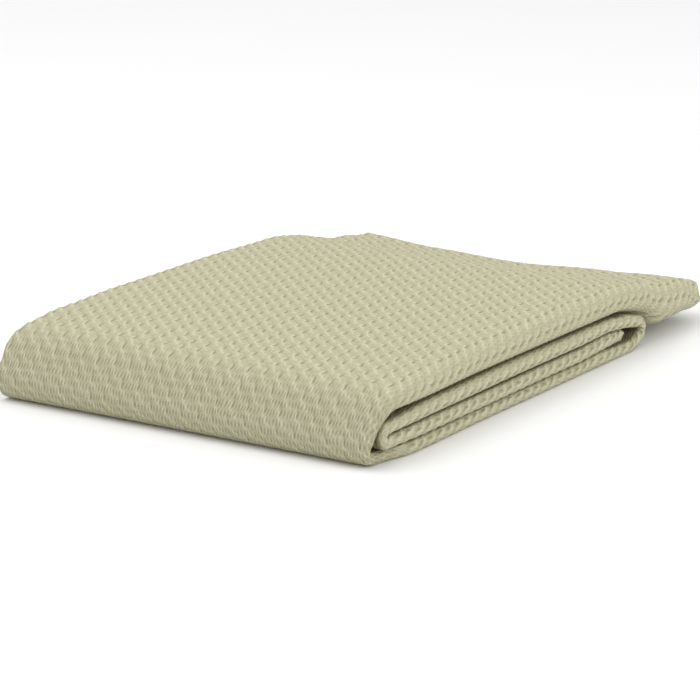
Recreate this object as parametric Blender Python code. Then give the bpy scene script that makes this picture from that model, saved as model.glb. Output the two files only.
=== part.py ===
"""Baby blanket: one woven cloth, folded in half twice across its width and then rolled flat in four.

Metres, +Z up. +X runs away from the rounded front fold, +Y runs along that fold, and the
blanket rests on its underside at Z = 0. The origin is under the middle of the folded blanket.

Folding the cloth in half twice makes a strip of four plies, 0.2 m wide. ROLL is the way that
the inner face of this strip takes, seen from the side, and cloth_across() is the way that
the cloth takes across the strip. Both are lines with rounded corners, so one function draws
both, and every point of the cloth is placed by one of each.
"""

import bisect
import math
from collections import namedtuple

import bpy

# Driving dimensions of the cloth and of its folded strip
CLOTH_THICKNESS = 0.0012
STRIP_WIDTH = 0.200
PLIES = 4
TIGHT = 0.0015
LOOSE = 0.0042

# Heights of the strip's inner face in its four layers, numbered from the top down
LAYER_1 = 0.02115
LAYER_2 = 0.01325
LAYER_3 = 0.01255
LAYER_4 = (PLIES - 1) * TIGHT + CLOTH_THICKNESS

# One row for each corner of the roll: where it is, how it is rounded, how far apart the plies
# lie there, how far the strip's right-hand edge is drawn in, and how upright the plies are
# stacked, from 0, square to the roll's line, to 1, straight up
Corner = namedtuple("Corner", "x z radius pitch inset upright")
ROLL = [
    Corner(0.2190, LAYER_3, 0.0, 0.00170, 0.0022, 0.0),
    Corner(0.2020, LAYER_3 + 0.0012, 0.060, 0.00180, 0.0006, 0.0),
    Corner(0.1760, LAYER_3, 0.080, 0.00175, 0.0004, 0.0),
    Corner(0.0450, LAYER_3, 0.200, 0.00175, 0.0003, 0.0),
    Corner(0.0108, 0.01175, 0.00035, TIGHT, 0.0012, 0.0),
    Corner(0.0108, 0.01245, 0.00035, TIGHT, 0.0012, 0.0),
    Corner(0.0450, LAYER_2, 0.200, 0.00200, 0.0002, 0.0),
    Corner(0.1200, LAYER_2, 0.0, 0.00210, 0.0006, 0.0),
    Corner(0.1780, LAYER_2, 0.080, 0.00200, 0.0004, 0.0),
    Corner(0.2020, LAYER_2 + 0.0013, 0.060, 0.00165, 0.0001, 0.0),
    Corner(0.2230, 0.01260, 0.030, 0.00160, 0.0002, 0.0),
    Corner(0.2416, 0.00920, 0.0010, TIGHT, 0.0012, 0.0),
    Corner(0.2280, LAYER_4, 0.015, TIGHT, 0.0004, 0.0),
    Corner(0.2120, LAYER_4, 0.040, TIGHT, 0.0004, 0.0),
    Corner(0.1950, LAYER_4 + 0.0010, 0.060, 0.00178, 0.0002, 0.0),
    Corner(0.1760, LAYER_4, 0.060, TIGHT, 0.0006, 0.0),
    Corner(0.0900, LAYER_4, 0.0, TIGHT, 0.0010, 0.0),
    Corner(0.0024, LAYER_4, 0.0040, TIGHT, 0.0, 0.0),
    Corner(0.0022, 0.01200, 0.0070, TIGHT, 0.0026, 0.0),
    Corner(0.0114, LAYER_1, 0.0220, 0.00280, 0.0012, 0.0),
    Corner(0.0420, LAYER_1, 0.0, 0.00375, 0.0, 0.0),
    Corner(0.0850, LAYER_1, 0.0, LOOSE, 0.0005, 0.0),
    Corner(0.1600, LAYER_1, 0.0, LOOSE, 0.0, 0.0),
    Corner(0.2160, LAYER_1, 0.060, 0.00375, 0.0003, 0.3),
    Corner(0.2410, 0.01560, 0.010, 0.00430, 0.0, 0.75),
    Corner(0.2500, 0.00600, 0.013, 0.00640, -0.0010, 0.75),
    Corner(0.2720, 0.00640, 0.0, 0.00570, -0.0010, 0.75),
    Corner(0.3000, 0.00800, 0.0, 0.00420, 0.0030, 0.75),
]

# How far each ply stops short of the roll's two ends, from the innermost ply outwards
FLAP_STAGGER = (0.0045, 0.0015, 0.0030, 0.0)
INNER_STAGGER = (0.0020, 0.0, 0.0030, 0.0015)
STAGGER_LENGTH = 0.030

# How far the two long hems lie inside the strip's left-hand edge
INNER_HEM_INSET = 0.0065
MIDDLE_HEM_INSET = 0.0030

# The flap's end sags between its two corners: how far, at each place along it
FLAP_START = 0.200
FLAP_LENGTH = 0.095
SAG_PLACES = (0.0, 0.055, 0.110, 0.155, 0.200)
SAG_DEPTHS = (0.0, 0.0050, 0.0074, 0.0062, 0.0036)

# Soft hollows and swells of the top: where, how wide, and how much of the height they take
Swell = namedtuple("Swell", "x y radius share")
SWELLS = [
    Swell(0.030, 0.150, 0.045, 0.020),
    Swell(0.075, 0.070, 0.050, -0.022),
    Swell(0.115, 0.165, 0.055, -0.018),
    Swell(0.150, 0.050, 0.050, 0.016),
    Swell(0.195, 0.120, 0.045, 0.014),
    Swell(0.190, 0.195, 0.035, -0.020),
    Swell(0.275, 0.110, 0.040, -0.020),
]

# How finely the lines are divided
TURN_STEP = math.radians(30)
ROLL_RUN = 0.045
PLY_RUNS = 4

CLOTH_COLOUR = (0.540, 0.510, 0.345, 1.0)
CLOTH_ROUGHNESS = 0.9

Station = namedtuple("Station", "x z heading distance")


def smooth(value):
    """Ease from 0 to 1 as the value goes from 0 to 1."""
    value = min(max(value, 0.0), 1.0)
    return value * value * (3.0 - 2.0 * value)


def eased(knots, values, place):
    """Read a value at a place, eased between the values at the knots."""
    index = min(max(bisect.bisect_right(knots, place), 1), len(knots) - 1)
    share = (place - knots[index - 1]) / (knots[index] - knots[index - 1])
    return values[index - 1] + (values[index] - values[index - 1]) * smooth(share)


def rounded_line(corners, run_length=None, runs=None):
    """Stations along a line of (x, z, radius) corners, and the distance at which each corner lies.

    A straight run is divided into runs equal parts, or into parts of run_length at the most.
    """
    stations = []
    corner_distances = [0.0]
    travelled = 0.0
    x, z, _ = corners[0]
    for index in range(1, len(corners)):
        corner_x, corner_z, radius = corners[index]
        heading = math.atan2(corner_z - z, corner_x - x)
        turn = 0.0
        if index < len(corners) - 1:
            next_x, next_z, _ = corners[index + 1]
            turn = math.remainder(math.atan2(next_z - corner_z, next_x - corner_x) - heading, math.tau)
        run = math.hypot(corner_x - x, corner_z - z) - radius * math.tan(abs(turn) / 2.0)
        parts = (runs or math.ceil(run / run_length)) if run > 1e-6 else 0
        for part in range(parts):
            along = run * part / parts
            stations.append(Station(x + along * math.cos(heading), z + along * math.sin(heading),
                                    heading, travelled + along))
        travelled += run
        x += run * math.cos(heading)
        z += run * math.sin(heading)
        arc = radius * abs(turn)
        corner_distances.append(travelled + arc / 2.0)
        if arc < 1e-9:
            continue
        swing = math.copysign(radius, turn)
        centre_x = x - swing * math.sin(heading)
        centre_z = z + swing * math.cos(heading)
        parts = math.ceil(abs(turn) / TURN_STEP - 1e-6)
        for part in range(parts):
            angle = heading + turn * part / parts
            stations.append(Station(centre_x + swing * math.sin(angle),
                                    centre_z - swing * math.cos(angle),
                                    angle, travelled + arc * part / parts))
        travelled += arc
        x = centre_x + swing * math.sin(heading + turn)
        z = centre_z - swing * math.cos(heading + turn)
    stations.append(Station(x, z, heading, travelled))
    return stations, corner_distances


def cloth_across(pitch, inset):
    """The cloth's way across the strip, as stations of (y, height over the strip's inner face).

    It starts at the hem of the second ply, turns at the right-hand edge into the third, at the
    left-hand edge into the outermost, and round all of them into the innermost.
    """
    heights = [CLOTH_THICKNESS / 2.0 + ply * pitch for ply in range(PLIES)]
    right = CLOTH_THICKNESS / 2.0 + inset
    left = STRIP_WIDTH - CLOTH_THICKNESS / 2.0
    inner_fold = pitch / 2.0
    outer_fold = pitch * 1.5
    corners = [
        (STRIP_WIDTH - MIDDLE_HEM_INSET, heights[1], 0.0),
        (right + pitch, heights[1], inner_fold),
        (right + pitch, heights[2], inner_fold),
        (left, heights[2], inner_fold),
        (left, heights[3], inner_fold),
        (right, heights[3], outer_fold),
        (right, heights[0], outer_fold),
        (STRIP_WIDTH - INNER_HEM_INSET, heights[0], 0.0),
    ]
    return rounded_line(corners, runs=PLY_RUNS)[0]


def settle(x, y, z):
    """Let the flap hang and the top swell and sink softly; the underside stays on the floor."""
    hang = smooth((x - FLAP_START) / FLAP_LENGTH) * smooth(z / LAYER_1)
    z -= hang * eased(SAG_PLACES, SAG_DEPTHS, y)
    share = 1.0
    for swell in SWELLS:
        distance = math.hypot(x - swell.x, y - swell.y) / swell.radius
        share += swell.share * math.exp(-distance * distance)
    return x, y, z * share


def roll_columns(station, knots):
    """The pitch, inset and uprightness of the strip at a station of the roll."""
    columns = ([row.pitch for row in ROLL], [row.inset for row in ROLL], [row.upright for row in ROLL])
    return [eased(knots, column, station.distance) for column in columns]


def build_ring(station, knots, length):
    """The cloth's two faces at one station of the roll, each as a row of points."""
    pitch, inset, upright = roll_columns(station, knots)
    lean = station.heading * (1.0 - upright)
    near_flap_end = smooth((station.distance - length) / STAGGER_LENGTH + 1.0)
    near_inner_end = smooth(1.0 - station.distance / STAGGER_LENGTH)
    faces = []
    for side in (0.5, -0.5):
        face = []
        for point in cloth_across(pitch, inset):
            offset = side * CLOTH_THICKNESS
            y = point.x - offset * math.sin(point.heading)
            height = point.z + offset * math.cos(point.heading)
            ply = (point.z - CLOTH_THICKNESS / 2.0) / pitch
            back = (near_inner_end * eased(range(PLIES), INNER_STAGGER, ply)
                    - near_flap_end * eased(range(PLIES), FLAP_STAGGER, ply))
            x = station.x - height * math.sin(lean) + back * math.cos(station.heading)
            z = station.z + height * math.cos(lean) + back * math.sin(station.heading)
            face.append(settle(x, y, z))
        faces.append(face)
    return faces


def build_cloth():
    """Join the rings of all stations into one closed cloth, with its two ends capped."""
    stations, knots = rounded_line([row[:3] for row in ROLL], run_length=ROLL_RUN)
    rings = [build_ring(station, knots, stations[-1].distance) for station in stations]
    width = len(rings[0][0])
    loop = 2 * width
    points = [point for upper, lower in rings for point in upper + lower[::-1]]
    faces = []
    for ring in range(len(rings) - 1):
        for corner in range(loop):
            after = (corner + 1) % loop
            faces.append((ring * loop + corner, (ring + 1) * loop + corner,
                          (ring + 1) * loop + after, ring * loop + after))
    last = (len(rings) - 1) * loop
    for corner in range(width - 1):
        across = loop - 1 - corner
        faces.append((corner, corner + 1, across - 1, across))
        faces.append((last + corner, last + across, last + across - 1, last + corner + 1))
    return points, faces


def centred(points):
    """Move the points so that the middle of their box stands over the origin, on the floor."""
    lows = [min(point[axis] for point in points) for axis in range(3)]
    highs = [max(point[axis] for point in points) for axis in range(3)]
    middle = ((lows[0] + highs[0]) / 2.0, (lows[1] + highs[1]) / 2.0, lows[2])
    return [tuple(value - shift for value, shift in zip(point, middle)) for point in points]


def cloth_material():
    """Matt sage-green cotton."""
    material = bpy.data.materials.new("sage_cotton")
    material.use_nodes = True
    shader = material.node_tree.nodes["Principled BSDF"]
    shader.inputs["Base Color"].default_value = CLOTH_COLOUR
    shader.inputs["Roughness"].default_value = CLOTH_ROUGHNESS
    shader.inputs["Metallic"].default_value = 0.0
    return material


def build_blanket():
    """Build the blanket's one object."""
    points, faces = build_cloth()
    mesh = bpy.data.meshes.new("blanket")
    mesh.from_pydata(centred(points), [], faces)
    mesh.update()
    mesh.shade_smooth()
    mesh.materials.append(cloth_material())
    blanket = bpy.data.objects.new("blanket", mesh)
    bpy.context.scene.collection.objects.link(blanket)
    return blanket


for old_object in list(bpy.data.objects):
    bpy.data.objects.remove(old_object)

build_blanket()
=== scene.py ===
# %% [markdown]
# # A folded baby blanket
#
# The blanket is one piece of thick cotton, woven in raised cells of about 8 mm. It is folded in half
# twice across its width, which makes a strip of four plies, and that strip is rolled flat into four
# layers. The last stretch of the strip runs past the back of the stack as a loose flap.
#
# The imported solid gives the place, the size and the folds. This lesson replaces it with one finely
# woven sheet on the same folds, and then gives that sheet its cotton.

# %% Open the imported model
import math
from collections import namedtuple

import bpy
import numpy as np
from mathutils import Matrix, Vector


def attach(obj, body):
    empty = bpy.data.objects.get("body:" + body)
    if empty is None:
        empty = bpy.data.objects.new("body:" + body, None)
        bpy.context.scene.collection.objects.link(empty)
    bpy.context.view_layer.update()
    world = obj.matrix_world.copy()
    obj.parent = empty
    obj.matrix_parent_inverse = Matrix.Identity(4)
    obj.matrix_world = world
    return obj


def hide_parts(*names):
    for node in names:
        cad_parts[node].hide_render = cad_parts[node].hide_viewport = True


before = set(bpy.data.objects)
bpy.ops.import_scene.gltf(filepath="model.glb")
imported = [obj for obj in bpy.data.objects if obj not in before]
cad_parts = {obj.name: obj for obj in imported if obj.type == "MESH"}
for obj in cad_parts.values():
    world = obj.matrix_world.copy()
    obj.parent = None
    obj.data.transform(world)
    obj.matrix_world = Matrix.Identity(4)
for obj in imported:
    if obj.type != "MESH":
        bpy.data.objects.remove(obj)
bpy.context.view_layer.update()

# %% [markdown]
# ## The camera
#
# The camera looks along the blanket's corner from a little above the table. Its place was fitted to
# the blanket's outline. It could be aimed with a Track To constraint, but here its three axes are
# written down, because they also say which way is right and up in the picture.

# %% Place the camera
CAMERA_TARGET = Vector((0.00717, 0.01532, 0.0))
CAMERA_DISTANCE = 1.52719
CAMERA_AZIMUTH = math.radians(57.045)
CAMERA_ELEVATION = math.radians(15.203)
CAMERA_LENS = 166.2
CAMERA_SENSOR = 36.0
CAMERA_CLIP = 0.01


def place_camera():
    """Add the camera, looking at its target from the near corner of the blanket."""
    level = Vector((-math.sin(CAMERA_AZIMUTH), -math.cos(CAMERA_AZIMUTH), 0.0))
    back = level * math.cos(CAMERA_ELEVATION) + Vector((0.0, 0.0, math.sin(CAMERA_ELEVATION)))
    right = Vector((math.cos(CAMERA_AZIMUTH), -math.sin(CAMERA_AZIMUTH), 0.0))
    up = back.cross(right)
    camera_data = bpy.data.cameras.new("photo_camera")
    camera_data.lens = CAMERA_LENS
    camera_data.sensor_width = CAMERA_SENSOR
    camera_data.clip_start = CAMERA_CLIP
    camera = bpy.data.objects.new("photo_camera", camera_data)
    camera.matrix_world = Matrix.Translation(CAMERA_TARGET + back * CAMERA_DISTANCE) @ Matrix(
        (right, up, back)).transposed().to_4x4()
    bpy.context.scene.collection.objects.link(camera)
    bpy.context.scene.camera = camera
    return camera


camera = place_camera()
print("camera at", [round(value, 3) for value in camera.location])

# %% [markdown]
# ## The way of the strip round the roll
#
# Folding could be left to a cloth simulation, but sixteen plies that lie on each other would have to
# be pushed into place one by one. The folds are known, so the sheet is drawn on them instead.
#
# Seen from the side, the strip's inner face follows a line with rounded corners. Each row below is
# one corner: where it is, how it is rounded, how far apart the plies lie there, how far the
# right-hand edge is drawn in, and how upright the plies are stacked. They are the solid's corners,
# except at the back fold and under the front fold, where they are moved a few millimetres to follow
# the photo more closely.

# %% List the corners of the roll
CLOTH_THICKNESS = 0.0012
STRIP_WIDTH = 0.200
PLIES = 4

# How far apart two plies lie where they are pressed, and where they are loose
TIGHT = 0.0015
LOOSE = 0.0042

# How high the strip's inner face runs in each layer
LAYER_1 = 0.02115
LAYER_2 = 0.01325
LAYER_3 = 0.01255
LAYER_4 = (PLIES - 1) * TIGHT + CLOTH_THICKNESS

Corner = namedtuple("Corner", "x z radius pitch inset upright")
ROLL = [
    Corner(0.2190, LAYER_3, 0.0, 0.00170, 0.0022, 0.0),
    Corner(0.2020, LAYER_3 + 0.0012, 0.060, 0.00180, 0.0006, 0.0),
    Corner(0.1760, LAYER_3, 0.080, 0.00175, 0.0004, 0.0),
    Corner(0.0450, LAYER_3, 0.200, 0.00175, 0.0003, 0.0),
    Corner(0.0108, 0.01175, 0.00035, TIGHT, 0.0012, 0.0),
    Corner(0.0108, 0.01245, 0.00035, TIGHT, 0.0012, 0.0),
    Corner(0.0450, LAYER_2, 0.200, 0.00200, 0.0002, 0.0),
    Corner(0.1200, LAYER_2, 0.0, 0.00210, 0.0006, 0.0),
    Corner(0.1780, LAYER_2, 0.080, 0.00200, 0.0004, 0.0),
    Corner(0.2020, LAYER_2 + 0.0013, 0.060, 0.00165, 0.0001, 0.0),
    Corner(0.2200, 0.01260, 0.030, 0.00160, 0.0002, 0.0),
    Corner(0.2372, 0.00920, 0.0010, TIGHT, 0.0012, 0.0),
    Corner(0.2250, LAYER_4, 0.012, TIGHT, 0.0004, 0.0),
    Corner(0.2120, LAYER_4, 0.040, TIGHT, 0.0004, 0.0),
    Corner(0.1950, LAYER_4 + 0.0010, 0.060, 0.00178, 0.0002, 0.0),
    Corner(0.1760, LAYER_4, 0.060, TIGHT, 0.0006, 0.0),
    Corner(0.0900, LAYER_4, 0.0, TIGHT, 0.0010, 0.0),
    Corner(0.0320, LAYER_4, 0.0, TIGHT, 0.0004, 0.0),
    Corner(0.0024, LAYER_4, 0.0040, TIGHT, 0.0050, 0.0),
    Corner(0.0022, 0.01200, 0.0070, TIGHT, 0.0026, 0.0),
    Corner(0.0114, LAYER_1, 0.0220, 0.00280, 0.0012, 0.0),
    Corner(0.0420, LAYER_1, 0.0, 0.00375, 0.0, 0.0),
    Corner(0.0850, LAYER_1, 0.0, LOOSE, 0.0005, 0.0),
    Corner(0.1600, LAYER_1, 0.0, LOOSE, 0.0, 0.0),
    Corner(0.2160, LAYER_1, 0.060, 0.00375, 0.0003, 0.3),
    Corner(0.2410, 0.01560, 0.010, 0.00430, 0.0, 0.75),
    Corner(0.2500, 0.00600, 0.013, 0.00640, -0.0010, 0.75),
    Corner(0.2720, 0.00640, 0.0, 0.00570, -0.0010, 0.75),
    Corner(0.3000, 0.00800, 0.0, 0.00420, 0.0030, 0.75),
]
print(len(ROLL), "corners round the roll")

# %% [markdown]
# Points are set close together along that line. Where it bends, they follow the arc, and the outer
# ply's longer way round it decides how many there are. Some points are marked as the borders of
# coarse cells: where the cloth is hidden, only these are used later.

# %% Walk along the roll
CELL_LENGTH = 0.00754
CELL_WIDTH = 0.00828
FINE_STEP = CELL_LENGTH / 5.0
FINE_PER_COARSE = 6
ARC_STEP = math.radians(12)
ARC_STEP_COARSE = math.radians(36)
OUTER_HEIGHT = CLOTH_THICKNESS + (PLIES - 1) * TIGHT
NEGLIGIBLE = 1e-6

Station = namedtuple("Station", "x z heading distance cloth_length")


def walk_roll():
    """Return the stations along the roll, each corner's distance, and the marks of the coarse cells."""
    stations = []
    corner_distances = [0.0]
    marks = []
    travelled = 0.0
    cloth_length = 0.0
    x, z = ROLL[0].x, ROLL[0].z
    for index in range(1, len(ROLL)):
        corner = ROLL[index]
        heading = math.atan2(corner.z - z, corner.x - x)
        turn = 0.0
        if index < len(ROLL) - 1:
            after = ROLL[index + 1]
            next_heading = math.atan2(after.z - corner.z, after.x - corner.x)
            turn = math.remainder(next_heading - heading, math.tau)
        run = math.hypot(corner.x - x, corner.z - z) - corner.radius * math.tan(abs(turn) / 2.0)
        parts = math.ceil(run / FINE_STEP) if run > NEGLIGIBLE else 0
        for part in range(parts):
            if part % FINE_PER_COARSE == 0:
                marks.append(len(stations))
            along = run * part / parts
            stations.append(Station(x + along * math.cos(heading), z + along * math.sin(heading),
                                    heading, travelled + along, cloth_length + along))
        travelled += run
        cloth_length += run
        x += run * math.cos(heading)
        z += run * math.sin(heading)
        arc = corner.radius * abs(turn)
        corner_distances.append(travelled + arc / 2.0)
        if arc < NEGLIGIBLE:
            continue
        outer_arc = abs(turn) * max(corner.radius - math.copysign(OUTER_HEIGHT, turn), 0.0)
        swing = math.copysign(corner.radius, turn)
        centre_x = x - swing * math.sin(heading)
        centre_z = z + swing * math.cos(heading)
        parts = max(math.ceil(abs(turn) / ARC_STEP), math.ceil(outer_arc / FINE_STEP))
        per_coarse = min(max(int(ARC_STEP_COARSE * parts / abs(turn)), 1), FINE_PER_COARSE)
        for part in range(parts):
            if part % per_coarse == 0:
                marks.append(len(stations))
            angle = heading + turn * part / parts
            stations.append(Station(centre_x + swing * math.sin(angle),
                                    centre_z - swing * math.cos(angle), angle,
                                    travelled + arc * part / parts,
                                    cloth_length + outer_arc * part / parts))
        travelled += arc
        cloth_length += outer_arc
        x = centre_x + swing * math.sin(heading + turn)
        z = centre_z - swing * math.cos(heading + turn)
    marks.append(len(stations))
    stations.append(Station(x, z, heading, travelled, cloth_length))
    return stations, corner_distances, marks


stations, corner_distances, roll_marks = walk_roll()
print(len(stations), "stations over", round(stations[-1].distance, 3), "m of strip")

# %% [markdown]
# ## The way of the cloth across the strip
#
# At every station the cloth goes across the strip four times. It starts at the hem of the second
# ply, turns at the right-hand edge into the third ply, at the left-hand edge into the outermost one,
# and round all of them into the innermost. Straight ply, half turn, straight ply: each is a piece of
# the way, divided into its own number of parts.

# %% List the pieces of the way across
Piece = namedtuple("Piece", "parts per_coarse")
SECOND_PLY = Piece(12, 1)
INNER_TURN = Piece(6, 2)
THIRD_PLY = Piece(12, 1)
LEFT_TURN = Piece(10, 2)
OUTER_PLY = Piece(132, 6)
RIGHT_TURN = Piece(18, 3)
INNERMOST_PLY = Piece(12, 1)
WAY_ACROSS = [SECOND_PLY, INNER_TURN, THIRD_PLY, LEFT_TURN, OUTER_PLY, RIGHT_TURN, INNERMOST_PLY]
LEFT, OUTER, RIGHT = [WAY_ACROSS.index(piece) for piece in (LEFT_TURN, OUTER_PLY, RIGHT_TURN)]


def across_marks():
    """Number the lines where each piece starts, and mark the borders of the coarse cells."""
    starts = [0]
    marks = []
    for piece in WAY_ACROSS:
        marks.extend(range(starts[-1], starts[-1] + piece.parts, piece.per_coarse))
        starts.append(starts[-1] + piece.parts)
    return starts, marks + [starts[-1]]


piece_starts, cloth_marks = across_marks()
print(piece_starts[-1] + 1, "lines across,", len(cloth_marks) - 1, "coarse cells across")

# %% [markdown]
# The two hems lie a little in from the folds, as hems do when a blanket is folded by hand. Each
# piece gives a row of points, with the way that the cloth heads at each of them, so that its two
# faces can later be set apart by half its thickness.

# %% Go across the strip
INNER_HEM_INSET = 0.0065
MIDDLE_HEM_INSET = 0.0030


def cloth_across(pitch, inset):
    """The cloth's middle line across the strip, as arrays of y, height, heading and cloth length.

    The cloth length is measured from the left-hand edge of the outermost ply, so that the weave
    lies on the ply that is seen just as it was woven.
    """
    heights = [CLOTH_THICKNESS / 2.0 + ply * pitch for ply in range(PLIES)]
    right = CLOTH_THICKNESS / 2.0 + inset + 1.5 * pitch
    left = STRIP_WIDTH - CLOTH_THICKNESS / 2.0 - 0.5 * pitch
    runs = [
        (STRIP_WIDTH - MIDDLE_HEM_INSET, right, heights[1], math.pi),
        (right, right, (heights[1] + heights[2]) / 2.0, -0.5 * pitch),
        (right, left, heights[2], 0.0),
        (left, left, (heights[2] + heights[3]) / 2.0, 0.5 * pitch),
        (left, right, heights[3], math.pi),
        (right, right, (heights[3] + heights[0]) / 2.0, 1.5 * pitch),
        (right, STRIP_WIDTH - INNER_HEM_INSET, heights[0], 0.0),
    ]
    ys, hs, headings, lengths = [], [], [], []
    travelled = 0.0
    for number, (piece, (start, end, height, last)) in enumerate(zip(WAY_ACROSS, runs)):
        share = np.arange(piece.parts) / piece.parts
        if number == len(WAY_ACROSS) - 1:
            share = np.append(share, 1.0)
        if number % 2 == 0:
            ys.append(start + (end - start) * share)
            hs.append(np.full(len(share), height))
            headings.append(np.full(len(share), last))
            length = abs(end - start)
        else:
            first = 0.0 if number == LEFT else math.pi
            angle = first + math.copysign(math.pi, last) * share
            ys.append(start + last * np.sin(angle))
            hs.append(height - last * np.cos(angle))
            headings.append(angle)
            length = math.pi * abs(last)
        if number == OUTER:
            left_edge = travelled
        lengths.append(travelled + length * share)
        travelled += length
    return (np.concatenate(ys), np.concatenate(hs), np.concatenate(headings),
            np.concatenate(lengths) - left_edge)


pressed = cloth_across(TIGHT, 0.0)
print("the cloth is", round(float(pressed[3][-1] - pressed[3][0]), 3), "m wide where it is pressed")

# %% [markdown]
# ## The weave's relief
#
# Each woven cell is a soft pad. A float of thick yarn crosses it on the slant, from its lower left
# corner to its upper right one, and beside the float's end the cloth sinks into a small slot. This
# is one list of smooth hills and hollows in a square cell. The sheet's own points take their relief
# from it here, and further down the material takes its finer shading from the same list.

# %% List the hills of one cell
Hill = namedtuple("Hill", "along across length width slant rise")
CELL_HILLS = [
    Hill(0.16, -0.04, 0.27, 0.075, math.radians(50), 0.60),
    Hill(0.50, 0.24, 0.28, 0.075, math.radians(45), 0.80),
    Hill(0.88, 0.44, 0.28, 0.075, math.radians(16), 0.85),
    Hill(0.80, 0.80, 0.28, 0.17, math.radians(42), 0.35),
    Hill(0.92, 0.27, 0.27, 0.080, math.radians(12), -0.95),
    Hill(0.30, 0.50, 0.26, 0.055, math.radians(46), -0.34),
    Hill(0.62, 0.86, 0.24, 0.055, math.radians(46), -0.30),
]
RELIEF_DEPTH = 0.00036


def cell_relief(along, across):
    """Height of the weave, in cell units, at places in the cloth that are given in metres."""
    total = np.zeros(np.broadcast(along, across).shape)
    for hill in CELL_HILLS:
        step_along = along / CELL_LENGTH - hill.along
        step_across = across / CELL_WIDTH - hill.across
        step_along = step_along - np.round(step_along)
        step_across = step_across - np.round(step_across)
        lengthwise = step_along * math.cos(hill.slant) + step_across * math.sin(hill.slant)
        sideways = step_across * math.cos(hill.slant) - step_along * math.sin(hill.slant)
        total = total + hill.rise * np.exp(-(lengthwise / hill.length) ** 2 - (sideways / hill.width) ** 2)
    return total


steps = np.linspace(0.0, CELL_WIDTH, 25)
heights_mm = 1000.0 * RELIEF_DEPTH * cell_relief(steps[:, None], steps[None, :])
print("relief from", heights_mm.min().round(2), "to", heights_mm.max().round(2), "mm")

# %% [markdown]
# ## Eased values
#
# Cloth has no hard steps. Wherever a value changes along the blanket, it eases from one level to the
# next with the curve that Blender calls Smooth Step.

# %% Ease from one value to another


def smooth(value):
    """Ease from 0 to 1 as the value goes from 0 to 1."""
    value = np.clip(value, 0.0, 1.0)
    return value * value * (3.0 - 2.0 * value)


def eased(knots, values, places):
    """Read values at places, eased between the values at the knots."""
    knots = np.asarray(knots, float)
    values = np.asarray(values, float)
    index = np.clip(np.searchsorted(knots, places, side="right"), 1, len(knots) - 1)
    share = (places - knots[index - 1]) / (knots[index] - knots[index - 1])
    return values[index - 1] + (values[index] - values[index - 1]) * smooth(share)


print("a quarter of the way is eased to", float(smooth(0.25)))

# %% [markdown]
# Round the tight front fold the cloth is stretched, so its cells are flatter there. This stretch is
# used twice: here for the points of the sheet, and later for the shading of the material.

# %% Flatten the cells round the front fold
FRONT_FLATTENING = 0.50
FRONT_START = 0.672
FRONT_END = 0.722
FRONT_EASE = 0.025


def kept_height(cloth_length):
    """The share of their height that the cells keep at a place along the cloth."""
    at_front = (smooth((cloth_length - FRONT_START) / FRONT_EASE)
                * (1.0 - smooth((cloth_length - FRONT_END) / FRONT_EASE)))
    return 1.0 - FRONT_FLATTENING * at_front


print("cells keep", float(kept_height(0.71)), "of their height at the front")

# %% [markdown]
# ## The flap
#
# The strip's last stretch hangs over the back of the stack. It sags between its corners, and its
# near corner droops in a round tip, a few millimetres lower than on the solid. Gravity would do this
# in a cloth simulation too, but the depths were read from the photo, so they are written down and
# eased between.

# %% Hang the flap
FLAP_START = 0.200
FLAP_LENGTH = 0.095
SAG_PLACES = (0.0, 0.055, 0.110, 0.155, 0.200)
SAG_DEPTHS = (0.0, 0.0050, 0.0074, 0.0062, 0.0036)
TIP_START = 0.274
TIP_LENGTH = 0.026
TIP_WIDTH = 0.045
TIP_DROP = 0.0034


def hang_flap(x, y, z):
    """The height of points after the flap has sagged and its tip has drooped."""
    hang = smooth((x - FLAP_START) / FLAP_LENGTH) * smooth(z / LAYER_1)
    z = z - hang * eased(SAG_PLACES, SAG_DEPTHS, y)
    tip = smooth((x - TIP_START) / TIP_LENGTH) * smooth((TIP_WIDTH - y) / TIP_WIDTH)
    return z - TIP_DROP * tip * smooth(z / LAYER_4)


print("the flap sags up to", 1000 * max(SAG_DEPTHS), "mm")

# %% [markdown]
# ## Swells and creases
#
# Sixteen plies never lie quite level. Wide, low swells give the top the uneven line that shows
# against the background, as on the solid. The main creases are set from the photo, as long
# soft ridges and troughs. One ridge runs just behind the front fold, where the cloth turns over the
# layers under it. The height of every point is scaled a little, so the layers below follow.

# %% List the swells and creases
Swell = namedtuple("Swell", "x y radius share")
SWELLS = [
    Swell(0.030, 0.150, 0.045, 0.020),
    Swell(0.075, 0.070, 0.050, -0.022),
    Swell(0.115, 0.165, 0.055, -0.018),
    Swell(0.150, 0.050, 0.050, 0.016),
    Swell(0.195, 0.120, 0.045, 0.014),
    Swell(0.190, 0.195, 0.035, -0.020),
    Swell(0.275, 0.110, 0.040, -0.020),
]

# Long soft ridges and troughs: from where to where, how wide, how long they ease out, how high
Crease = namedtuple("Crease", "x y end_x end_y width ease share")
CREASES = [
    Crease(0.012, 0.010, 0.012, 0.190, 0.014, 0.040, 0.045),
    Crease(0.010, 0.150, 0.180, 0.150, 0.030, 0.080, 0.018),
    Crease(0.060, 0.030, 0.140, 0.075, 0.012, 0.050, -0.014),
    Crease(0.040, 0.120, 0.100, 0.160, 0.010, 0.040, -0.012),
    Crease(0.130, 0.110, 0.190, 0.170, 0.011, 0.040, -0.014),
    Crease(0.205, 0.020, 0.203, 0.130, 0.010, 0.050, 0.016),
    Crease(0.240, 0.070, 0.290, 0.040, 0.010, 0.030, -0.040),
    Crease(0.235, 0.150, 0.285, 0.130, 0.012, 0.030, 0.030),
]
print(len(SWELLS), "swells and", len(CREASES), "creases")

# %% Swell and crease the stack


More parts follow.
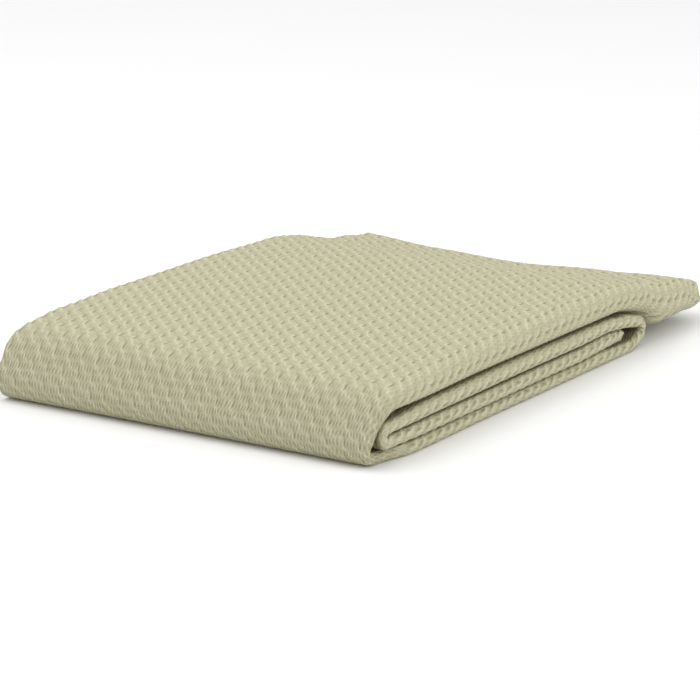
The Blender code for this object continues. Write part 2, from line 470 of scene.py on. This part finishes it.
def swell_and_crease(x, y, z):
    """The height of points after the stack has swollen, sunk and creased softly."""
    share = 1.0
    for swell in SWELLS:
        share = share + swell.share * np.exp(-((x - swell.x) ** 2 + (y - swell.y) ** 2) / swell.radius ** 2)
    for crease in CREASES:
        line = np.hypot(crease.end_x - crease.x, crease.end_y - crease.y)
        ahead_x, ahead_y = (crease.end_x - crease.x) / line, (crease.end_y - crease.y) / line
        along = (x - crease.x) * ahead_x + (y - crease.y) * ahead_y
        aside = (y - crease.y) * ahead_x - (x - crease.x) * ahead_y
        ends = smooth(along / crease.ease + 0.5) * smooth((line - along) / crease.ease + 0.5)
        share = share + crease.share * ends * np.exp(-(aside / crease.width) ** 2)
    return z * share


print("a point 30 mm high at the front is now",
      round(1000 * float(swell_and_crease(0.012, 0.1, 0.030)), 2), "mm high")

# %% [markdown]
# ## Shelter and painted shade
#
# Deep between two layers the real cloth looks olive, because the light that gets in has bounced off
# green cotton many times. That shade is painted into the colour: each point is told how sheltered it
# lies, and the material paints olive shade by that. The faces that look outwards are in the open: the
# first layer from the front fold on, and the fourth one at the back fold.

# %% Measure how sheltered a point is
NOSE_START = 0.655
BACK_NOSE = (0.415, 0.490)
FLAP_OPEN = 0.880
SHELTER_FALL = 1.5
STAGGER_LENGTH = 0.030
HEADING_SLACK = 0.01


def shelter(station, headings):
    """How deep the points of a station lie between two layers, from 0, in the open, to 1."""
    hidden = np.clip(1.0 - SHELTER_FALL * np.abs(np.sin(headings)), 0.0, 1.0)
    seen_outside = station.distance > NOSE_START or BACK_NOSE[0] < station.distance < BACK_NOSE[1]
    if seen_outside:
        facing_out = (headings > math.pi - HEADING_SLACK) & (headings < 1.5 * math.pi)
        hidden = np.where(facing_out, 0.0, hidden)
    return hidden * (1.0 - smooth((station.distance - FLAP_OPEN) / STAGGER_LENGTH))


print("shelter at the flap's hem:", float(shelter(stations[-1], pressed[2]).max()))

# %% [markdown]
# ## Every point of the sheet
#
# A point of the sheet is placed by one station of the roll and one line across it. The cloth's two
# faces lie half its thickness to either side of its middle line, and the outer one takes the weave's
# relief. The four plies don't end at quite the same place, so both ends of the strip are staggered.
# Where the blanket touches the table, the cloth is pressed flat.

# %% Lay one station
FLAP_STAGGER = (0.0045, 0.0015, 0.0030, 0.0)
INNER_STAGGER = (0.0020, 0.0, 0.0030, 0.0015)
STACK_MIDDLE = (0.14821, 0.0995)


def lay_station(station, exposed):
    """Both faces of the cloth at one station, outer face first, and where each point lies in the cloth."""
    columns = ([row.pitch for row in ROLL], [row.inset for row in ROLL], [row.upright for row in ROLL])
    pitch, inset, upright = [float(eased(corner_distances, column, station.distance)) for column in columns]
    ys, heights, headings, lengths = cloth_across(pitch, inset)
    lean = station.heading * (1.0 - upright)
    full_length = stations[-1].distance
    near_flap_end = smooth((station.distance - full_length) / STAGGER_LENGTH + 1.0)
    near_inner_end = smooth(1.0 - station.distance / STAGGER_LENGTH)
    across = STRIP_WIDTH - lengths
    relief = exposed * kept_height(station.cloth_length) * RELIEF_DEPTH
    relief = relief * cell_relief(station.cloth_length, across)
    ply = (heights - CLOTH_THICKNESS / 2.0) / pitch
    back = (near_inner_end * eased(range(PLIES), INNER_STAGGER, ply)
            - near_flap_end * eased(range(PLIES), FLAP_STAGGER, ply))
    faces = []
    for offset in (-CLOTH_THICKNESS / 2.0 - relief, CLOTH_THICKNESS / 2.0):
        y = ys - offset * np.sin(headings)
        height = heights + offset * np.cos(headings)
        x = station.x - height * math.sin(lean) + back * math.cos(station.heading)
        z = station.z + height * math.cos(lean) + back * math.sin(station.heading)
        z = swell_and_crease(x, y, hang_flap(x, y, z))
        z = np.maximum(z, 0.0)
        faces.append(np.stack([x - STACK_MIDDLE[0], y - STACK_MIDDLE[1], z], axis=1))
    return faces, across, shelter(station, headings)


first_faces = lay_station(stations[0], 0.0)[0]
print(len(first_faces[0]), "points on each face at the first station")

# %% [markdown]
# ## Fine where it shows, coarse where it doesn't
#
# A fine grid over the whole sheet would need over half a million triangles, and most of them would
# lie inside the stack. So the grid is cut into coarse cells. A cell that shows gets all its fine faces,
# and a hidden one becomes a single face, which takes up its neighbours' extra points on its border.
# In this way the sheet stays one closed skin.

# %% Choose what is fine


def fine_cells():
    """Tell for each coarse cell of the outer face, by rows along and columns across, if it is fine."""
    row_starts = np.array([stations[mark].distance for mark in roll_marks[:-1]])
    column_starts = np.array(cloth_marks[:-1])
    turn_columns = np.zeros(len(column_starts), bool)
    for piece in (LEFT, RIGHT):
        turn_columns |= (column_starts >= piece_starts[piece]) & (column_starts < piece_starts[piece + 1])
    outer_columns = (column_starts >= piece_starts[OUTER]) & (column_starts < piece_starts[OUTER + 1])
    outer_rows = (row_starts > NOSE_START) | ((row_starts > BACK_NOSE[0]) & (row_starts < BACK_NOSE[1]))
    return turn_columns[None, :] | (outer_rows[:, None] & outer_columns[None, :])


def exposed_points(fine):
    """Mark the points of the fine cells, which take the weave's relief."""
    exposed = np.zeros((len(stations), cloth_marks[-1] + 1))
    for row, column in zip(*np.nonzero(fine)):
        rows = slice(roll_marks[row], roll_marks[row + 1] + 1)
        columns = slice(cloth_marks[column], cloth_marks[column + 1] + 1)
        exposed[rows, columns] = 1.0
    return exposed


fine = fine_cells()
exposed = exposed_points(fine)
print(int(fine.sum()), "of", fine.size, "cells of the outer face are fine")

# %% [markdown]
# Now every station is laid, one after the other. The arrays keep the rows and columns of the grid,
# and beside each place its length along and across the cloth, for the weave.

# %% Lay the whole sheet
outer_points = np.zeros((len(stations), cloth_marks[-1] + 1, 3))
inner_points = np.zeros_like(outer_points)
across_lengths = np.zeros(outer_points.shape[:2])
sheltered = np.zeros(outer_points.shape[:2])
for number, station in enumerate(stations):
    both_faces, across_lengths[number], sheltered[number] = lay_station(station, exposed[number])
    outer_points[number], inner_points[number] = both_faces
along_lengths = np.array([station.cloth_length for station in stations])
print("sheet's box", outer_points.min((0, 1)).round(4), outer_points.max((0, 1)).round(4))

# %% [markdown]
# The skin is put together from three kinds of faces: the outer face, the inner face, and a rim that
# joins them along the four hems. Points are numbered when a face first asks for them.

# %% Collect faces and points


class Skin:
    """Collects the faces of the closed sheet, and numbers the points that they use."""

    def __init__(self):
        self.numbers = {}
        self.points = []
        self.places = []
        self.shelters = []
        self.faces = []

    def number(self, side, row, column):
        """The number of a point of the outer (0) or the inner (1) face."""
        key = (side, row, column)
        if key not in self.numbers:
            self.numbers[key] = len(self.points)
            source = inner_points if side else outer_points
            self.points.append(source[row, column])
            self.places.append((across_lengths[row, column], along_lengths[row]))
            self.shelters.append(sheltered[row, column])
        return self.numbers[key]

    def add(self, corners):
        """Add one face through corners of (side, row, column)."""
        self.faces.append([self.number(*corner) for corner in corners])


print("an empty skin has", len(Skin().faces), "faces")

# %% [markdown]
# A hidden cell is one face, but its border has to meet the many small edges of a fine neighbour, or
# the skin would have open slits there. So the border is walked round side by side, and takes up each
# fine neighbour's points.

# %% Go round one coarse cell


def is_fine(row, column):
    """Tell if there is a cell with this row and column, and it is fine."""
    inside = 0 <= row < fine.shape[0] and 0 <= column < fine.shape[1]
    return inside and bool(fine[row, column])


def cell_border(row, column, side):
    """The points round one coarse cell, with the extra points of its fine neighbours."""
    top, bottom = roll_marks[row], roll_marks[row + 1]
    left, right = cloth_marks[column], cloth_marks[column + 1]
    outer = side == 0
    rim_row_before = row == 0 and is_fine(row, column)
    rim_row_after = row == fine.shape[0] - 1 and is_fine(row, column)
    fine_before = (outer and is_fine(row - 1, column)) or rim_row_before
    fine_after = (outer and is_fine(row + 1, column)) or rim_row_after
    columns_before = range(left, right) if fine_before else [left]
    columns_after = range(right, left, -1) if fine_after else [right]
    rows_after = range(top, bottom) if outer and is_fine(row, column + 1) else [top]
    rows_before = range(bottom, top, -1) if outer and is_fine(row, column - 1) else [bottom]
    border = [(side, top, place) for place in columns_before]
    border += [(side, place, right) for place in rows_after]
    border += [(side, bottom, place) for place in columns_after]
    border += [(side, place, left) for place in rows_before]
    return border


most = max(len(cell_border(row, column, 0)) for row, column in zip(*np.nonzero(~fine)))
print("a hidden cell's border has up to", most, "points")

# %% [markdown]
# Every coarse cell of the outer face becomes small faces or one large one, and the inner face, which
# hardly shows, only gets large ones, turned the other way so that they too point out of the cloth.
# The rim closes the sheet along its four hems.

# %% Build the skin


def build_skin():
    """Build the outer face, the inner face and the rim."""
    skin = Skin()
    rows, columns = fine.shape
    for row in range(rows):
        for column in range(columns):
            if fine[row, column]:
                for r in range(roll_marks[row], roll_marks[row + 1]):
                    for c in range(cloth_marks[column], cloth_marks[column + 1]):
                        skin.add([(0, r, c), (0, r, c + 1), (0, r + 1, c + 1), (0, r + 1, c)])
            else:
                skin.add(cell_border(row, column, 0))
            skin.add(cell_border(row, column, 1)[::-1])
    last_row, last_column = roll_marks[-1], cloth_marks[-1]
    for column in range(columns):
        for row, end in ((0, 0), (rows - 1, last_row)):
            step = 1 if fine[row, column] else cloth_marks[column + 1] - cloth_marks[column]
            for c in range(cloth_marks[column], cloth_marks[column + 1], step):
                face = [(0, end, c), (1, end, c), (1, end, c + step), (0, end, c + step)]
                skin.add(face if end == 0 else face[::-1])
    for row in range(rows):
        r, after = roll_marks[row], roll_marks[row + 1]
        skin.add([(0, r, 0), (0, after, 0), (1, after, 0), (1, r, 0)])
        skin.add([(0, r, last_column), (1, r, last_column),
                  (1, after, last_column), (0, after, last_column)])
    return skin


skin = build_skin()
triangles = sum(len(face) - 2 for face in skin.faces)
print(len(skin.points), "points,", triangles, "triangles")

# %% [markdown]
# The skin becomes one mesh. Its UV map holds each point's place in the flat cloth, in metres across
# and along, so the weave follows the folds without stretching. The shelter goes with it as an
# attribute, for the painted shade between the layers.

# %% Make the blanket's mesh


def make_blanket(skin):
    """Turn the skin into one mesh with the weave's own coordinates as its UV map."""
    mesh = bpy.data.meshes.new("woven_blanket")
    mesh.from_pydata([tuple(point) for point in skin.points], [], skin.faces)
    mesh.update()
    corner_points = np.zeros(len(mesh.loops), np.int32)
    mesh.loops.foreach_get("vertex_index", corner_points)
    weave_map = mesh.uv_layers.new(name="weave")
    weave_map.data.foreach_set("uv", np.array(skin.places)[corner_points].ravel())
    # How sheltered each point is, for the painted olive shade between the layers
    shelter_attribute = mesh.attributes.new("shelter", "FLOAT", "POINT")
    shelter_attribute.data.foreach_set("value", np.array(skin.shelters))
    mesh.shade_smooth()
    blanket = bpy.data.objects.new("woven_blanket", mesh)
    bpy.context.scene.collection.objects.link(blanket)
    return blanket


blanket = make_blanket(skin)
print(blanket.name, "has", len(blanket.data.polygons), "faces")

# %% [markdown]
# ## The cotton
#
# The cloth is matt, pale sage green. What makes it look woven is its relief, so the material reads
# the weave's own coordinates from the UV map and repeats the hills of the cell there. One small
# group draws a single hill, and a second one adds them up. The same hills also say where shade is
# painted into the slots, where less light gets in.

# %% Two helpers for node trees


def new_group(name, inputs, outputs):
    """Make an empty node group with float sockets, and return it with its two end nodes."""
    group = bpy.data.node_groups.new(name, "ShaderNodeTree")
    for socket_name in inputs:
        group.interface.new_socket(name=socket_name, in_out="INPUT", socket_type="NodeSocketFloat")
    for socket_name in outputs:
        group.interface.new_socket(name=socket_name, in_out="OUTPUT", socket_type="NodeSocketFloat")
    return group, group.nodes.new("NodeGroupInput"), group.nodes.new("NodeGroupOutput")


def calculate(tree, operation, *values):
    """Add a Math node and return its result. A value is a number or another node's output."""
    node = tree.nodes.new("ShaderNodeMath")
    node.operation = operation
    for socket, value in zip(node.inputs, values):
        if isinstance(value, (int, float)):
            socket.default_value = value
        else:
            tree.links.new(value, socket)
    return node.outputs[0]


print("helpers", new_group.__name__, "and", calculate.__name__)

# %% [markdown]
# A hill is a bell curve. Its distance from the cell's centre is wrapped, so that the same hill comes
# again in every cell. The slant turns that distance, given as its cosine and sine.

# %% Group: one hill of the cell


def hill_group():
    """A group that draws one slanted hill, repeated in every cell."""
    inputs = ["Along", "Across", "Centre Along", "Centre Across", "Length", "Width", "Cosine", "Sine"]
    group, start, end = new_group("cell_hill", inputs, ["Hill"])
    given = start.outputs
    steps = []
    for place, centre in (("Along", "Centre Along"), ("Across", "Centre Across")):
        apart = calculate(group, "SUBTRACT", given[place], given[centre])
        steps.append(calculate(group, "WRAP", apart, 0.5, -0.5))
    lengthwise = calculate(group, "ADD", calculate(group, "MULTIPLY", steps[0], given["Cosine"]),
                           calculate(group, "MULTIPLY", steps[1], given["Sine"]))
    sideways = calculate(group, "SUBTRACT", calculate(group, "MULTIPLY", steps[1], given["Cosine"]),
                         calculate(group, "MULTIPLY", steps[0], given["Sine"]))
    lengthwise = calculate(group, "DIVIDE", lengthwise, given["Length"])
    sideways = calculate(group, "DIVIDE", sideways, given["Width"])
    squares = calculate(group, "MULTIPLY_ADD", lengthwise, lengthwise,
                        calculate(group, "MULTIPLY", sideways, sideways))
    hill = calculate(group, "EXPONENT", calculate(group, "MULTIPLY", squares, -1.0))
    group.links.new(hill, end.inputs["Hill"])
    return group


cell_hill = hill_group()
print("group", cell_hill.name, "with", len(cell_hill.nodes), "nodes")

# %% [markdown]
# The second group places the first one once for each hill in the list. Beside the whole relief it
# gives two masks, one of the slots and one of the high floats, because the material paints shade
# into the slots and a highlight onto the floats.

# %% Group: the whole weave
HIGH_FLOAT = 0.5


def weave_group():
    """A group that adds up the cell's hills, and also gives the slots alone and the floats alone."""
    group, start, end = new_group("cellular_weave", ["Along", "Across"], ["Relief", "Slot", "Float"])
    totals = {"Relief": 0.0, "Slot": 0.0, "Float": 0.0}
    for hill in CELL_HILLS:
        node = group.nodes.new("ShaderNodeGroup")
        node.node_tree = cell_hill
        group.links.new(start.outputs["Along"], node.inputs["Along"])
        group.links.new(start.outputs["Across"], node.inputs["Across"])
        settings = {"Centre Along": hill.along, "Centre Across": hill.across, "Length": hill.length,
                    "Width": hill.width, "Cosine": math.cos(hill.slant), "Sine": math.sin(hill.slant)}
        for name, value in settings.items():
            node.inputs[name].default_value = value
        raised = node.outputs["Hill"]
        totals["Relief"] = calculate(group, "MULTIPLY_ADD", raised, hill.rise, totals["Relief"])
        if hill.rise < 0.0:
            totals["Slot"] = calculate(group, "MULTIPLY_ADD", raised, -hill.rise, totals["Slot"])
        elif hill.rise > HIGH_FLOAT:
            totals["Float"] = calculate(group, "ADD", raised, totals["Float"])
    for name, total in totals.items():
        group.links.new(total, end.inputs[name])
    return group


cellular_weave = weave_group()
print("group", cellular_weave.name, "with", len(cellular_weave.nodes), "nodes")

# %% [markdown]
# The material needs three more kinds of node again and again: noise, a value that eases from 0 to 1,
# and a mix of two colours. Each gets a helper, so that the material itself stays easy to read.

# %% Three helpers for the material


def noise(tree, coordinates, scale, detail):
    """Add a Noise Texture node on the given coordinates."""
    node = tree.nodes.new("ShaderNodeTexNoise")
    node.inputs["Scale"].default_value = scale
    node.inputs["Detail"].default_value = detail
    tree.links.new(coordinates, node.inputs["Vector"])
    return node


def rising(tree, value, start, ease):
    """Add a Map Range node that eases from 0 to 1 over the given stretch, and return its result."""
    node = tree.nodes.new("ShaderNodeMapRange")
    node.interpolation_type = "SMOOTHSTEP"
    node.inputs["From Min"].default_value = start
    node.inputs["From Max"].default_value = start + ease
    tree.links.new(value, node.inputs["Value"])
    return node.outputs["Result"]


def mix_colours(tree, share, first, second):
    """Mix a colour, given or from another node, with a second one by a share, and return the result."""
    node = tree.nodes.new("ShaderNodeMix")
    node.data_type = "RGBA"
    node.inputs["B"].default_value = second
    if isinstance(first, tuple):
        node.inputs["A"].default_value = first
    else:
        tree.links.new(first, node.inputs["A"])
    tree.links.new(share, node.inputs["Factor"])
    return node.outputs["Result"]


print("helpers", noise.__name__ + ",", rising.__name__, "and", mix_colours.__name__)

# %% [markdown]
# ## Where the weave lies
#
# The UV map gives metres, and the weave counts in cells, so both lengths are divided by the size of
# a cell. No cloth is woven or laid perfectly evenly: low noise moves the cells by up to half a cell
# from place to place.

# %% Find the place in the weave
UNEVEN_SCALE = 90.0
UNEVEN_DETAIL = 3.0
UNEVEN_DRIFT = 0.55


def weave_places(tree):
    """The places along and across in cells, and how much each point belongs to the front fold."""
    weave_map = tree.nodes.new("ShaderNodeUVMap")
    weave_map.uv_map = "weave"
    split = tree.nodes.new("ShaderNodeSeparateXYZ")
    tree.links.new(weave_map.outputs["UV"], split.inputs["Vector"])
    unevenness = noise(tree, weave_map.outputs["UV"], UNEVEN_SCALE, UNEVEN_DETAIL)
    drift = tree.nodes.new("ShaderNodeSeparateColor")
    tree.links.new(unevenness.outputs["Color"], drift.inputs["Color"])
    across = calculate(tree, "DIVIDE", split.outputs["X"], CELL_WIDTH)
    along = calculate(tree, "DIVIDE", split.outputs["Y"], CELL_LENGTH)
    across = calculate(tree, "MULTIPLY_ADD", drift.outputs["Red"], UNEVEN_DRIFT, across)
    along = calculate(tree, "MULTIPLY_ADD", drift.outputs["Green"], UNEVEN_DRIFT, along)
    before_end = calculate(tree, "SUBTRACT", 1.0, rising(tree, split.outputs["Y"], FRONT_END, FRONT_EASE))
    at_front = calculate(tree, "MULTIPLY", rising(tree, split.outputs["Y"], FRONT_START, FRONT_EASE),
                         before_end)
    return along, across, at_front


print("the cells drift by up to", UNEVEN_DRIFT, "of a cell")

# %% [markdown]
# ## The relief
#
# Three things raise the surface: the cell's hills, the single yarns in it, and fluff. Five fine
# yarns lie side by side in each cell and go over and under once. They show most on the front fold,
# where the cloth is stretched, so they are stronger there. All of it only bends the light, as
# a Bump node, because yarns and fluff this fine are too small for the mesh.

# %% Raise the hills, the yarns and the fluff
BUMP_DEPTH = 0.00027
YARNS_ACROSS = 5.0
YARNS_ALONG = 1.0
YARN_DEPTH = 0.00016
FRONT_YARN_DEPTH = 0.00006
FLUFF_SCALE = 1400.0
FLUFF_DETAIL = 4.0
FLUFF_DEPTH = 0.00018


def yarn_waves(tree, along, across):
    """The fine yarns of a cell, as waves between -1 and 1."""
    yarn_across = calculate(tree, "SINE", calculate(tree, "MULTIPLY", across, math.tau * YARNS_ACROSS))
    yarn_along = calculate(tree, "SINE", calculate(tree, "MULTIPLY", along, math.tau * YARNS_ALONG))
    return calculate(tree, "MULTIPLY", yarn_across, yarn_along)


def raised_normal(tree, relief, yarns, fluff, at_front, cells):
    """The normal of the cotton, from its hills, its yarns and its fluff."""
    height = calculate(tree, "MULTIPLY", relief, BUMP_DEPTH)
    height = calculate(tree, "MULTIPLY", height, cells)
    yarn_depth = calculate(tree, "MULTIPLY_ADD", at_front, FRONT_YARN_DEPTH, YARN_DEPTH)
    height = calculate(tree, "MULTIPLY_ADD", yarns, yarn_depth, height)
    height = calculate(tree, "MULTIPLY_ADD", fluff, FLUFF_DEPTH, height)
    bump = tree.nodes.new("ShaderNodeBump")
    bump.inputs["Strength"].default_value = 1.0
    bump.inputs["Distance"].default_value = 1.0
    tree.links.new(height, bump.inputs["Height"])
    return bump.outputs["Normal"]


print("yarns are", round(1000 * CELL_WIDTH / YARNS_ACROSS, 1), "mm apart")

# %% [markdown]
# ## The colours and the painted light
#
# The cloth is one pale sage green. Light and shade are painted on top of it: the floats get a
# painted highlight, a little lighter, because they stand up into the light, and the slots and the
# gaps between yarns get painted shade, because less light comes back out of them. Between the
# layers painted olive shade deepens the colour by the sheet's shelter attribute.

# %% Paint highlight on the floats and shade in the slots, gaps and sheltered places
SAGE = (0.520, 0.500, 0.342, 1.0)
# Painted highlight on the raised floats; also the tint of the sheen
SAGE_HIGHLIGHT_AND_SHEEN = (0.640, 0.615, 0.450, 1.0)
# Painted shade in the slots
SAGE_SLOT_SHADE = (0.320, 0.300, 0.180, 1.0)
# Painted shade in the gaps between yarns, stronger round the front fold
YARN_GAP_SHADE = (0.120, 0.105, 0.050, 1.0)
YARN_GAP_SHADE_SHARE = 0.32
FRONT_YARN_SHADE_SHARE = 0.60
# Painted olive shade deep between the layers
SAGE_SHELTER_SHADE = (0.130, 0.115, 0.045, 1.0)
SHELTER_SHADE_SHARE = 0.75


def cotton_colour(tree, weave, yarns, fluff, at_front, cells):
    """The colour of the cotton from the masks of the weave, its yarns and its shelter: a painted highlight
    on the floats, painted shade in the slots and between the yarns, and painted olive shade where it is
    sheltered.
    """
    # Painted highlight on the floats
    colour = mix_colours(tree, weave.outputs["Float"], SAGE, SAGE_HIGHLIGHT_AND_SHEEN)
    # Painted shade in the slots, weaker where the front fold flattens the cells
    colour = mix_colours(tree, calculate(tree, "MULTIPLY", weave.outputs["Slot"], cells), colour, SAGE_SLOT_SHADE)
    # Painted shade in the gaps between yarns, broken up by fluff
    between = calculate(tree, "MULTIPLY_ADD", yarns, -0.5, 0.5)
    between = calculate(tree, "MULTIPLY", between, fluff)
    share = calculate(tree, "MULTIPLY_ADD", at_front, FRONT_YARN_SHADE_SHARE, YARN_GAP_SHADE_SHARE)
    colour = mix_colours(tree, calculate(tree, "MULTIPLY", between, share), colour, YARN_GAP_SHADE)
    # Painted olive shade between the layers, by the shelter attribute
    sheltered = tree.nodes.new("ShaderNodeAttribute")
    sheltered.attribute_name = "shelter"
    shelter_shade = calculate(tree, "MULTIPLY", sheltered.outputs["Fac"], SHELTER_SHADE_SHARE)
    return mix_colours(tree, shelter_shade, colour, SAGE_SHELTER_SHADE)


print("sage", SAGE[:3], "down to", SAGE_SHELTER_SHADE[:3])

# %% [markdown]
# ## The material
#
# All the parts meet in one Principled BSDF. Washed cotton is matt, with almost no shine and only a
# trace of sheen from its fluff.

# %% Put the cotton together
COTTON_SETTINGS = {"Roughness": 0.88, "Specular IOR Level": 0.12, "Sheen Weight": 0.06,
                   "Sheen Tint": SAGE_HIGHLIGHT_AND_SHEEN, "Sheen Roughness": 0.45}


def cotton_material():
    """Matt cotton with the weave's relief and its fine yarns, painted shade in its slots and yarn gaps, and
    a painted highlight on its floats.
    """
    material = bpy.data.materials.new("sage_cotton_weave")
    material.use_nodes = True
    tree = material.node_tree
    shader = tree.nodes["Principled BSDF"]
    for name, value in COTTON_SETTINGS.items():
        shader.inputs[name].default_value = value
    along, across, at_front = weave_places(tree)
    weave = tree.nodes.new("ShaderNodeGroup")
    weave.node_tree = cellular_weave
    tree.links.new(along, weave.inputs["Along"])
    tree.links.new(across, weave.inputs["Across"])
    yarns = yarn_waves(tree, along, across)
    coordinates = tree.nodes.new("ShaderNodeTexCoord")
    fluff = noise(tree, coordinates.outputs["Object"], FLUFF_SCALE, FLUFF_DETAIL).outputs["Fac"]
    flattened = calculate(tree, "MULTIPLY", at_front, FRONT_FLATTENING)
    cells = calculate(tree, "SUBTRACT", 1.0, flattened)
    normal = raised_normal(tree, weave.outputs["Relief"], yarns, fluff, at_front, cells)
    colour = cotton_colour(tree, weave, yarns, fluff, at_front, cells)
    tree.links.new(normal, shader.inputs["Normal"])
    tree.links.new(colour, shader.inputs["Base Color"])
    return material


blanket.data.materials.append(cotton_material())
print("material", blanket.data.materials[0].name)

# %% [markdown]
# ## Floor and light
#
# The photo has a plain white ground and soft light from all round, a little stronger from above. A
# wide white floor and a pale sky do most of that. One large lamp overhead gives the top its lighter
# tone, and a second one fills the side with the folds. Two wide lamps leave softer shadows than a
# sun would.

# %% Lay the floor
FLOOR_WHITE = (0.90, 0.90, 0.90, 1.0)
FLOOR_ROUGHNESS = 0.9
FLOOR_SIZE = 12.0


def add_floor():
    """A wide, plain, pale floor just under the blanket."""
    bpy.ops.object.select_all(action="DESELECT")
    bpy.ops.mesh.primitive_plane_add(size=FLOOR_SIZE, location=(0.0, 0.0, 0.0))
    floor = bpy.context.object
    floor.name = "floor"
    white = bpy.data.materials.new("floor_white")
    white.use_nodes = True
    shader = white.node_tree.nodes["Principled BSDF"]
    shader.inputs["Base Color"].default_value = FLOOR_WHITE
    shader.inputs["Roughness"].default_value = FLOOR_ROUGHNESS
    floor.data.materials.append(white)


add_floor()
print("a floor", FLOOR_SIZE, "m wide")

# %% [markdown]
# Each lamp is turned so that its -Z axis, along which it shines, points at the blanket.
# The sky is an even white, and the view is Standard, so that the white ground stays white.

# %% Light the stage
Lamp = namedtuple("Lamp", "name place size power")
LAMPS = [
    Lamp("overhead", (-0.4, 0.4, 1.55), 1.4, 10.8),
    Lamp("right_fill", (0.3, -1.6, 0.7), 1.2, 5.5),
]
SKY_WHITE = (1.0, 1.0, 1.0, 1.0)
SKY_STRENGTH = 0.85


def add_lamp(given):
    """A square soft lamp that looks at the blanket."""
    lamp_data = bpy.data.lights.new(given.name, "AREA")
    lamp_data.size = given.size
    lamp_data.energy = given.power
    lamp = bpy.data.objects.new(given.name, lamp_data)
    lamp.location = given.place
    lamp.rotation_euler = (-Vector(given.place)).to_track_quat("-Z", "Y").to_euler()
    bpy.context.scene.collection.objects.link(lamp)


def add_sky():
    """An even, pale world."""
    sky = bpy.data.worlds.new("pale_sky")
    sky.use_nodes = True
    background = sky.node_tree.nodes["Background"]
    background.inputs["Color"].default_value = SKY_WHITE
    background.inputs["Strength"].default_value = SKY_STRENGTH
    bpy.context.scene.world = sky


for lamp in LAMPS:
    add_lamp(lamp)
add_sky()
bpy.context.scene.view_settings.view_transform = "Standard"
print(len(LAMPS), "lamps and a pale sky")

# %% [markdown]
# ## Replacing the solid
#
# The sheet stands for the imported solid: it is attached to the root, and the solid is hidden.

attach(blanket, "root")
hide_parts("blanket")
